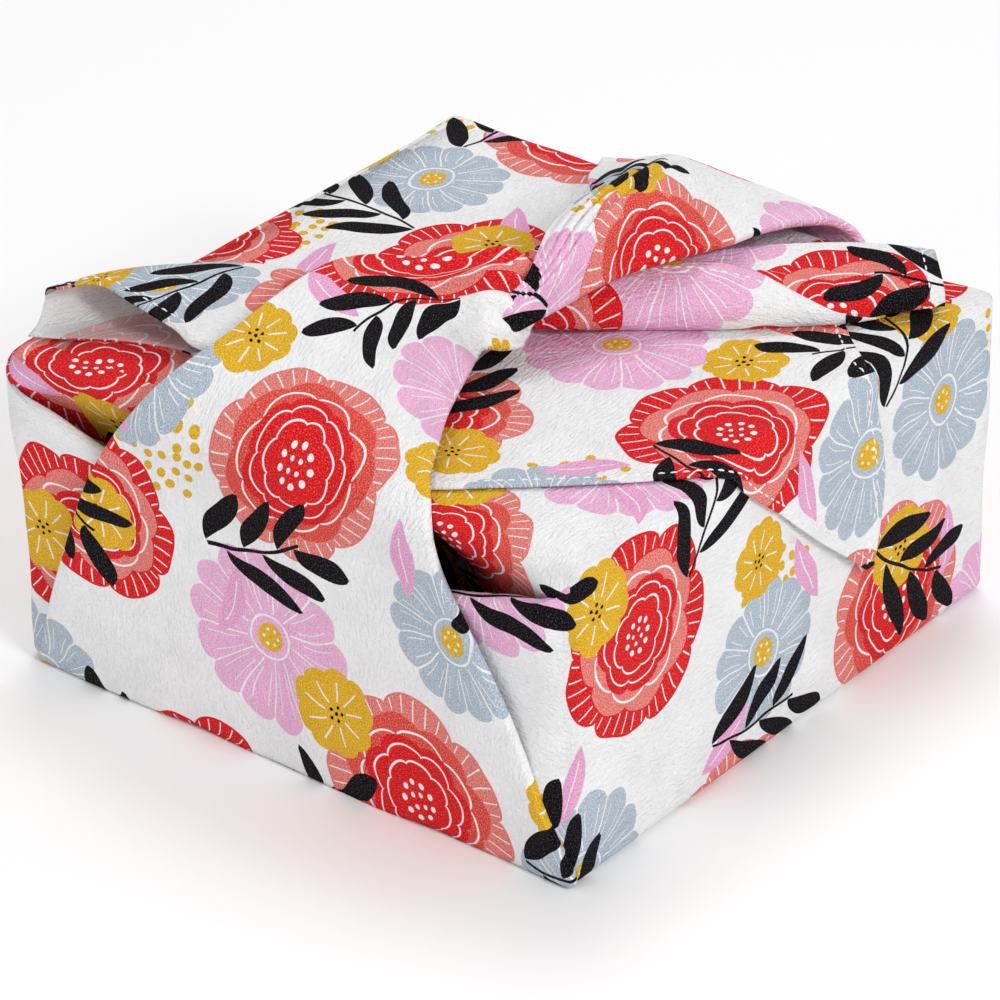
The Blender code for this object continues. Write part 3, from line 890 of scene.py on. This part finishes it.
def plug(tree, socket, value):
    """Give a socket what comes out of another one, or a value of its own."""
    if isinstance(value, Number):
        value = value.source
    if isinstance(value, bpy.types.NodeSocket):
        tree.links.new(value, socket)
    elif socket.type == "RGBA":
        socket.default_value = (*value, 1.0)
    else:
        socket.default_value = value


def add_node(tree, kind, settings=None, **sockets):
    """A shader node with its settings made and its sockets plugged, by their names."""
    node = tree.nodes.new("ShaderNode" + kind)
    for name, value in (settings or {}).items():
        setattr(node, name, value)
    for name, value in sockets.items():
        plug(tree, node.inputs[name], value)
    return node


def mixed(tree, factor, first, second):
    """The first colour where the factor is 0, and the second where it is 1."""
    mix = add_node(tree, "Mix", {"data_type": "RGBA"}, Factor=factor, A=first, B=second)
    return mix.outputs["Result"]


def flat_noise(tree, place, scale):
    """Smooth noise on the flat cloth, mostly between 0.3 and 0.7."""
    settings = {"noise_dimensions": "2D"}
    return add_node(tree, "TexNoise", settings, Vector=place, Scale=scale, Detail=1.0)


class Number:
    """A shader value that adds, multiplies and so on by making Math nodes."""

    def __init__(self, tree, source):
        self.tree = tree
        self.source = source

    def math(self, operation, *others, clamp=False):
        node = add_node(self.tree, "Math", {"operation": operation, "use_clamp": clamp})
        for socket, value in zip(node.inputs, (self, *others)):
            plug(self.tree, socket, value)
        return Number(self.tree, node.outputs[0])

    def __add__(self, other):
        return self.math("ADD", other)

    def __sub__(self, other):
        return self.math("SUBTRACT", other)

    def __mul__(self, other):
        return self.math("MULTIPLY", other)

    def __truediv__(self, other):
        return self.math("DIVIDE", other)

    def size(self):
        return self.math("ABSOLUTE")

    def power(self, other):
        return self.math("POWER", other)

    def below(self, limit, softness=SOFT):
        """1 where the value is under the limit, with a narrow soft border."""
        if isinstance(limit, Number):
            gap = limit - self
            return gap.math("MULTIPLY_ADD", 1 / softness, 0.5, clamp=True)
        return self.math("MULTIPLY_ADD", -1 / softness, limit / softness + 0.5, clamp=True)

    def above(self, limit, softness=SOFT):
        """1 where the value is over the limit."""
        return self.below(limit, -softness)


class Print:
    """Builds the printed pattern in a material's nodes."""

    def __init__(self, tree):
        self.tree = tree
        uv = add_node(tree, "UVMap", {"uv_map": "flat_cloth"})
        place = self.vector("SCALE", uv.outputs["UV"], scale=1 / MM)
        drift = flat_noise(tree, place, DRIFT_SCALE)
        centred = self.vector("SUBTRACT", drift.outputs["Color"], (0.5, 0.5, 0.5))
        self.drawn = self.vector("ADD", place, self.vector("SCALE", centred, scale=DRIFT))
        self.colour = WHITE

    def vector(self, operation, first, second=None, scale=None, out="Vector"):
        node = add_node(self.tree, "VectorMath", {"operation": operation})
        plug(self.tree, node.inputs[0], first)
        if second is not None:
            plug(self.tree, node.inputs[1], second)
        if scale is not None:
            node.inputs["Scale"].default_value = scale
        return node.outputs[out]

    def number(self, source):
        return Number(self.tree, source)

    def lay(self, mask, colour=WHITE):
        """Print a colour, or else white, where the mask is 1."""
        self.colour = mixed(self.tree, mask, self.colour, colour)

    def pick(self, chance, first, second):
        """The second of two colours where a number is over a half, else the first."""
        return mixed(self.tree, chance.math("GREATER_THAN", 0.5), first, second)

    def cells(self, size, turn, shift, jitter, seed, place=None):
        """Place inside a motif's own cell, turned at random, and two random numbers."""
        spin = (0, 0, math.radians(turn))
        scale = (1 / size, 1 / size, 0)
        mapping = add_node(
            self.tree, "Mapping",
            Vector=place or self.drawn, Location=(*shift, 0), Rotation=spin, Scale=scale,
        )
        cell = self.vector("FLOOR", mapping.outputs["Vector"])
        inside = self.vector("SUBTRACT", mapping.outputs["Vector"], cell)
        seeded = self.vector("ADD", cell, (seed, seed, seed))
        chance = add_node(self.tree, "TexWhiteNoise", Vector=seeded)
        moved = self.vector("SCALE", chance.outputs["Color"], scale=-jitter / size)
        middle = -0.5 + 0.5 * jitter / size
        local = self.vector("ADD", inside, moved)
        local = self.vector("ADD", local, (middle, middle, 0))
        local = self.vector("MULTIPLY", local, (size, size, 0))
        parts = add_node(self.tree, "SeparateColor", Color=chance.outputs["Color"])
        first = self.number(parts.outputs["Blue"])
        second = self.number(chance.outputs["Value"])
        about_z = {"rotation_type": "Z_AXIS"}
        angle = first * (2 * math.pi)
        rotate = add_node(self.tree, "VectorRotate", about_z, Vector=local, Angle=angle)
        return rotate.outputs["Vector"], first, second

    def split(self, local):
        """The two coordinates of a place."""
        parts = add_node(self.tree, "SeparateXYZ", Vector=local)
        return self.number(parts.outputs["X"]), self.number(parts.outputs["Y"])

    def polar(self, local):
        """Distance from the motif's middle and angle round it."""
        x, y = self.split(local)
        distance = self.number(self.vector("LENGTH", local, out="Value"))
        return distance, y.math("ARCTAN2", x)

    def lobes(self, angle, count, depth, sharpness):
        """Outline of so many petals, as a share of the full radius."""
        wave = (angle * (count / 2)).math("COSINE").size().power(sharpness)
        return wave.math("MULTIPLY_ADD", depth, 1 - depth)

    def line(self, value, at, half_width, softness=SOFT):
        """A thin line where a distance equals a value."""
        return (value - at).size().below(half_width, softness)

    def to_rays(self, distance, angle, count, wave="COSINE"):
        """Distance to the nearest of rays, twice as many as the count."""
        return (angle * count).math(wave).size() * distance / count

    def seeds(self, distance, angle, ring, count, radius):
        """A ring of round seeds."""
        step = 2 * math.pi / count
        round_it = ((angle / step).math("FRACT") - 0.5) * (step * ring)
        out = distance - ring
        return (round_it * round_it + out * out).math("SQRT").below(radius)

    def add_dots(self):
        """Patches of small mustard dots."""
        pitch = 5.4
        flat = {"voronoi_dimensions": "2D"}
        dots = add_node(
            self.tree, "TexVoronoi", flat, Vector=self.drawn, Scale=1 / pitch, Randomness=0.55
        )
        local, _, chance = self.cells(*DOT_CELLS, dots.outputs["Position"])
        distance, _ = self.polar(local)
        patch = distance.below(chance * 6.0 + 14.0)
        from_middle = self.number(dots.outputs["Distance"])
        self.lay(from_middle.below(0.30, 0.03) * patch, MUSTARD)

    def add_daisies(self):
        """Pink or grey-blue daisies with white lines between their petals."""
        local, _, more = self.cells(*DAISY_CELLS)
        distance, angle = self.polar(local)
        radius = more * 7.0 + 23.0
        petals = 13
        eye = 4.6
        ring = 7.2
        flower = distance.below(radius * self.lobes(angle, petals, depth=0.15, sharpness=0.5))
        self.lay(flower, self.pick(more, GREY_BLUE, DAISY_PINK))
        gaps = self.to_rays(distance, angle, petals / 2)
        self.lay(gaps.below(0.26) * flower * distance.above(8.5))
        veins = self.to_rays(distance, angle, petals)
        self.lay(veins.below(0.14) * distance.above(12.0) * distance.below(radius * 0.82))
        self.lay(self.line(distance, ring, 0.38))
        self.lay(distance.below(eye), MUSTARD)
        self.lay(self.seeds(distance, angle, ring=2.6, count=6, radius=0.55))

    def add_blossoms(self):
        """Large red and coral blossoms in rings of petals."""
        local, chance, more = self.cells(*BLOSSOM_CELLS)
        distance, angle = self.polar(local)
        radius = chance * 6.0 + 29.0
        petals = 7
        inner_turn = 0.45
        rays = 21
        outer = distance / (radius * self.lobes(angle, petals, 0.13, 0.55))
        inner = distance / (radius * self.lobes(angle + inner_turn, petals, 0.13, 0.55))
        self.lay(outer.below(1.0, SOFT_SHARE), self.pick(more, SALMON, RED))
        ray = self.to_rays(distance, angle, rays)
        band = outer.below(0.97, SOFT_SHARE) * inner.above(0.80, SOFT_SHARE)
        self.lay(ray.below(0.22) * band)
        self.lay(inner.below(0.78, SOFT_SHARE), self.pick(more, CORAL, SALMON))
        self.lay(self.line(outer, 0.64, 0.012, SOFT_SHARE))
        self.lay(inner.below(0.58, SOFT_SHARE), RED)
        self.lay(self.line(outer, 0.36, 0.010, SOFT_SHARE))
        self.lay(self.line(inner, 0.49, 0.009, SOFT_SHARE))
        self.lay(self.seeds(distance, angle, ring=5.2, count=9, radius=0.95))
        self.lay(self.seeds(distance, angle, ring=2.2, count=4, radius=0.7))

    def add_leaves(self):
        """Single pink leaves."""
        local, _, _ = self.cells(*LEAF_CELLS)
        x, y = self.split(local)
        length = 26.0
        width = 8.4
        along = (y / length).math("ADD", 0.5, clamp=True)
        half = (along * math.pi).math("SINE").power(0.85) * (width / 2)
        bent = x - (y * y) * 0.012
        self.lay(bent.size().below(half) * y.size().below(length / 2), PINK)
        self.lay(bent.size().below(0.22) * y.size().below(8.0))

    def add_buttons(self):
        """Small mustard flowers with a black middle."""
        local, chance, _ = self.cells(*BUTTON_CELLS)
        distance, angle = self.polar(local)
        radius = chance * 2.5 + 12.5
        petals = 9
        button = distance.below(radius * self.lobes(angle, petals, depth=0.12, sharpness=0.6))
        self.lay(button, MUSTARD)
        rays = self.to_rays(distance, angle, petals / 2, "SINE")
        band = distance.below(radius * 0.72) * distance.above(4.2)
        self.lay(rays.below(0.28) * band)
        self.lay(self.seeds(distance, angle, ring=2.3, count=5, radius=0.62), BLACK)
        self.lay(distance.below(0.7), BLACK)

    def add_sprigs(self):
        """Black sprigs with leaves on both sides of a stem."""
        local, _, _ = self.cells(*SPRIG_CELLS)
        x, y = self.split(local)
        x = x - (y * y) * 0.006
        pitch = 15.0
        pairs = 3
        slant = 1.15
        foot = 26.0
        aside = x.size()
        staggered = x.math("GREATER_THAN", 0.0) * (pitch / 2)
        up = y - aside * slant + staggered + foot
        from_middle = ((up / pitch).math("FRACT") - 0.5).size() * pitch
        length = up * -0.15 + 20.0
        along = (aside / length).math("ADD", -0.04, clamp=True)
        half = (along * math.pi).math("SINE").math("MAXIMUM", 0.0).power(0.85) * 5.6
        leaves = from_middle.below(half) * aside.below(length)
        self.lay(leaves * up.above(0.0) * up.below(pitch * pairs), BLACK)
        self.lay(aside.below(0.55) * y.above(-25.0) * y.below(15.0), BLACK)

    def add_all(self):
        self.add_dots()
        self.add_daisies()
        self.add_blossoms()
        self.add_leaves()
        self.add_buttons()
        self.add_sprigs()


# Materials

GRAIN_SCALE = 2.3  # waves in a millimetre
GRAIN_HEIGHT = 0.5
RIDGE_SCALE = 0.95
RIDGE_HEIGHT = 0.9
RIDGE_STRETCH = (1.0, 0.4, 1.0)
SPECKLE = 1.9  # how much the grain lightens and darkens the print
REVERSE_FADE = 0.5  # how far the print is faded on the reverse
TWIST_SCALE = 2500.0  # waves of the thread's twist in a metre
THREAD_DARK = (0.80, 0.77, 0.77)
THREAD_LIGHT = (0.96, 0.95, 0.95)
FLOOR_WHITE = (0.96, 0.96, 0.96)


def add_material(name, roughness):
    """A material, with its nodes and its shader."""
    made = bpy.data.materials.new(name)
    made.use_nodes = True
    shader = made.node_tree.nodes["Principled BSDF"]
    shader.inputs["Roughness"].default_value = roughness
    return made, made.node_tree, shader


def cotton_material(name, fade):
    """Crepe cotton with its print, which fades toward white on the reverse."""
    made, tree, shader = add_material(name, 0.9)
    shader.inputs["Specular IOR Level"].default_value = 0.08
    printed = Print(tree)
    printed.add_all()
    if fade:
        printed.colour = mixed(tree, fade, printed.colour, WHITE)
    stretched = add_node(tree, "Mapping", Vector=printed.drawn, Scale=RIDGE_STRETCH)
    fine = flat_noise(tree, printed.drawn, GRAIN_SCALE)
    long = flat_noise(tree, stretched.outputs["Vector"], RIDGE_SCALE)
    grain = Number(tree, fine.outputs["Fac"])
    ridges = Number(tree, long.outputs["Fac"])
    power = grain.math("MULTIPLY_ADD", -SPECKLE, SPECKLE)
    uneven = add_node(tree, "Gamma", Color=printed.colour, Gamma=power)
    height = grain * GRAIN_HEIGHT + ridges * RIDGE_HEIGHT
    relief = add_node(tree, "Bump", Strength=1.0, Distance=MM, Height=height)
    plug(tree, shader.inputs["Base Color"], uneven.outputs["Color"])
    plug(tree, shader.inputs["Normal"], relief.outputs["Normal"])
    return made


def thread_material(name):
    """White cotton thread with a fine twist."""
    made, tree, shader = add_material(name, 0.7)
    place = add_node(tree, "TexCoord").outputs["Object"]
    twist = add_node(tree, "TexNoise", Vector=place, Scale=TWIST_SCALE)
    tint = mixed(tree, twist.outputs["Fac"], THREAD_DARK, THREAD_LIGHT)
    plug(tree, shader.inputs["Base Color"], tint)
    return made


def build_cloth():
    """The printed cloth and the stitches in its hems."""
    cloth, seams = Cloth(), Seams()
    add_parcel(cloth)
    add_back_corner(cloth, seams)
    add_front_corner(cloth)
    add_strap(cloth, -1, LEFT_STRAP_ON_TOP, left_waves)
    add_strap(cloth, 1, RIGHT_STRAP_ON_TOP, right_waves)
    add_left_tail(cloth, seams)
    add_right_tail(cloth, seams)
    printed = cotton_material("printed_cotton", 0.0)
    reverse = cotton_material("cotton_reverse", REVERSE_FADE)
    thread = thread_material("sewing_thread")
    return cloth.finish("furoshiki", printed, reverse), seams.finish("stitches", thread)


# Camera, light and floor

CAMERA_AZIMUTH = 38.70
CAMERA_ELEVATION = 29.81
CAMERA_ROLL = -0.81
CAMERA_DISTANCE = 1.488
CAMERA_TARGET = Vector((-0.002366, -0.001895, 0.042621))
CAMERA_LENS = 176.97
SENSOR = 36.0
LIT_POINT = Vector((0, 0, 0.05))
FLOOR_HALF = 6.0  # half its side, in metres
FLOOR_DROP = 0.0004  # how far it lies under the cloth
ROOM_LIGHT = 0.6


def set_camera():
    """The photograph's viewpoint."""
    az, el = math.radians(CAMERA_AZIMUTH), math.radians(CAMERA_ELEVATION)
    back = Vector((math.sin(az) * math.cos(el), -math.cos(az) * math.cos(el), math.sin(el)))
    right = Vector((math.cos(az), math.sin(az), 0))
    up = back.cross(right)
    turn = Matrix((right, up, back)).transposed() @ Matrix.Rotation(math.radians(CAMERA_ROLL), 3, "Z")
    data = bpy.data.cameras.new("camera")
    data.lens = CAMERA_LENS
    data.sensor_width = SENSOR
    camera = add_object("camera", data)
    camera.matrix_world = Matrix.Translation(CAMERA_TARGET + back * CAMERA_DISTANCE) @ turn.to_4x4()
    scene.camera = camera


def add_light(name, place, size, power):
    data = bpy.data.lights.new(name, "AREA")
    data.energy = power
    data.size = size
    light = add_object(name, data)
    light.location = place
    light.rotation_euler = (LIT_POINT - Vector(place)).to_track_quat("-Z", "Y").to_euler()


def add_studio():
    """A pale floor in a white room, with soft light from the right, above and the left."""
    paper, tree, shader = add_material("floor", 0.7)
    plug(tree, shader.inputs["Base Color"], FLOOR_WHITE)
    half = FLOOR_HALF
    corners = [(-half, -half, 0), (half, -half, 0), (half, half, 0), (-half, half, 0)]
    floor = add_mesh("floor", corners, [(0, 1, 2, 3)], [paper])
    floor.location.z = -FLOOR_DROP
    add_light("key", place=(1.5, -0.5, 1.2), size=0.4, power=14)
    add_light("top", place=(-0.4, 0.6, 1.8), size=0.7, power=10)
    add_light("fill", place=(-0.3, -1.8, 0.6), size=0.6, power=3)
    world = bpy.data.worlds.new("studio")
    world.use_nodes = True
    room = world.node_tree.nodes["Background"]
    room.inputs["Color"].default_value = (1, 1, 1, 1)
    room.inputs["Strength"].default_value = ROOM_LIGHT
    scene.world = world


scene.view_settings.view_transform = "Standard"
set_camera()
add_studio()
furoshiki, stitches = build_cloth()
for piece in (furoshiki, stitches):
    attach(piece, "root")
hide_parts("furoshiki_cloth")
